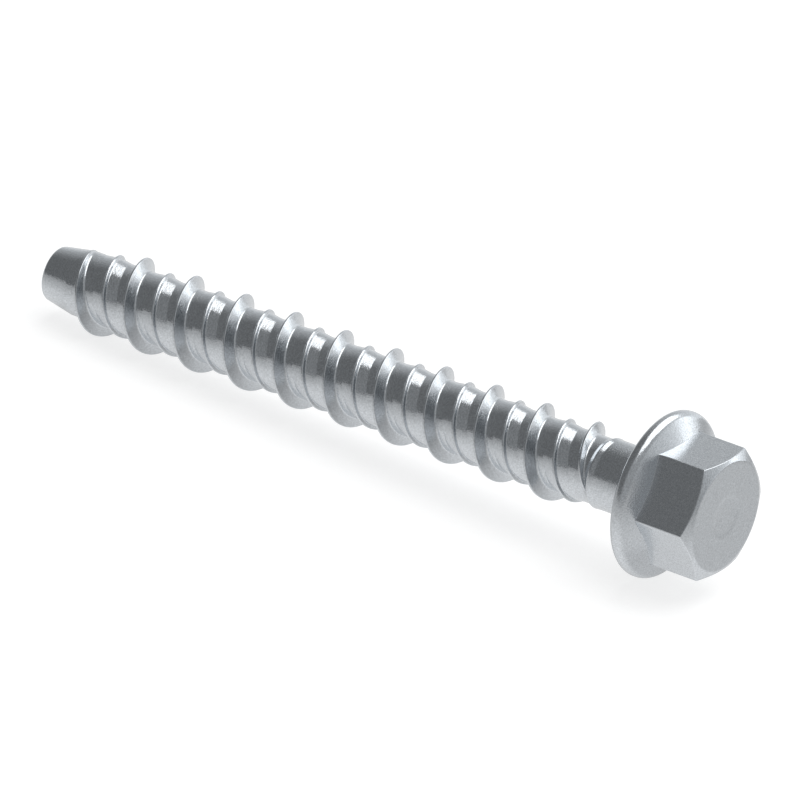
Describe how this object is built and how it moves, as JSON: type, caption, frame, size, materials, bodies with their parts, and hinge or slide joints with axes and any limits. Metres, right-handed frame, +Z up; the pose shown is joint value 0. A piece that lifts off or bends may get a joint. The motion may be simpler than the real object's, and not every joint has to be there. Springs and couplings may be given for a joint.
{
  "type": "concrete screw",
  "caption": "Self-cutting screw for concrete with a flanged hexagon head, a plain shank, a high cutting thread with a low thread between its turns, and a flat tapered tip.",
  "frame": {"origin": "on the floor, in the middle below the screw as it lies on its flange's rim and on the high thread near its tip", "axes": "+Z up, +X from the tip to the head; the screw's own axis lies in the XZ plane and rises 3.5 degrees towards the head"},
  "size_m": [0.067, 0.0142, 0.0142],
  "materials": {
    "zinc_plated_steel": "bright zinc plating, satin"
  },
  "bodies": {
    "root": {"concrete_screw": "zinc_plated_steel"}
  },
  "joints": []
}
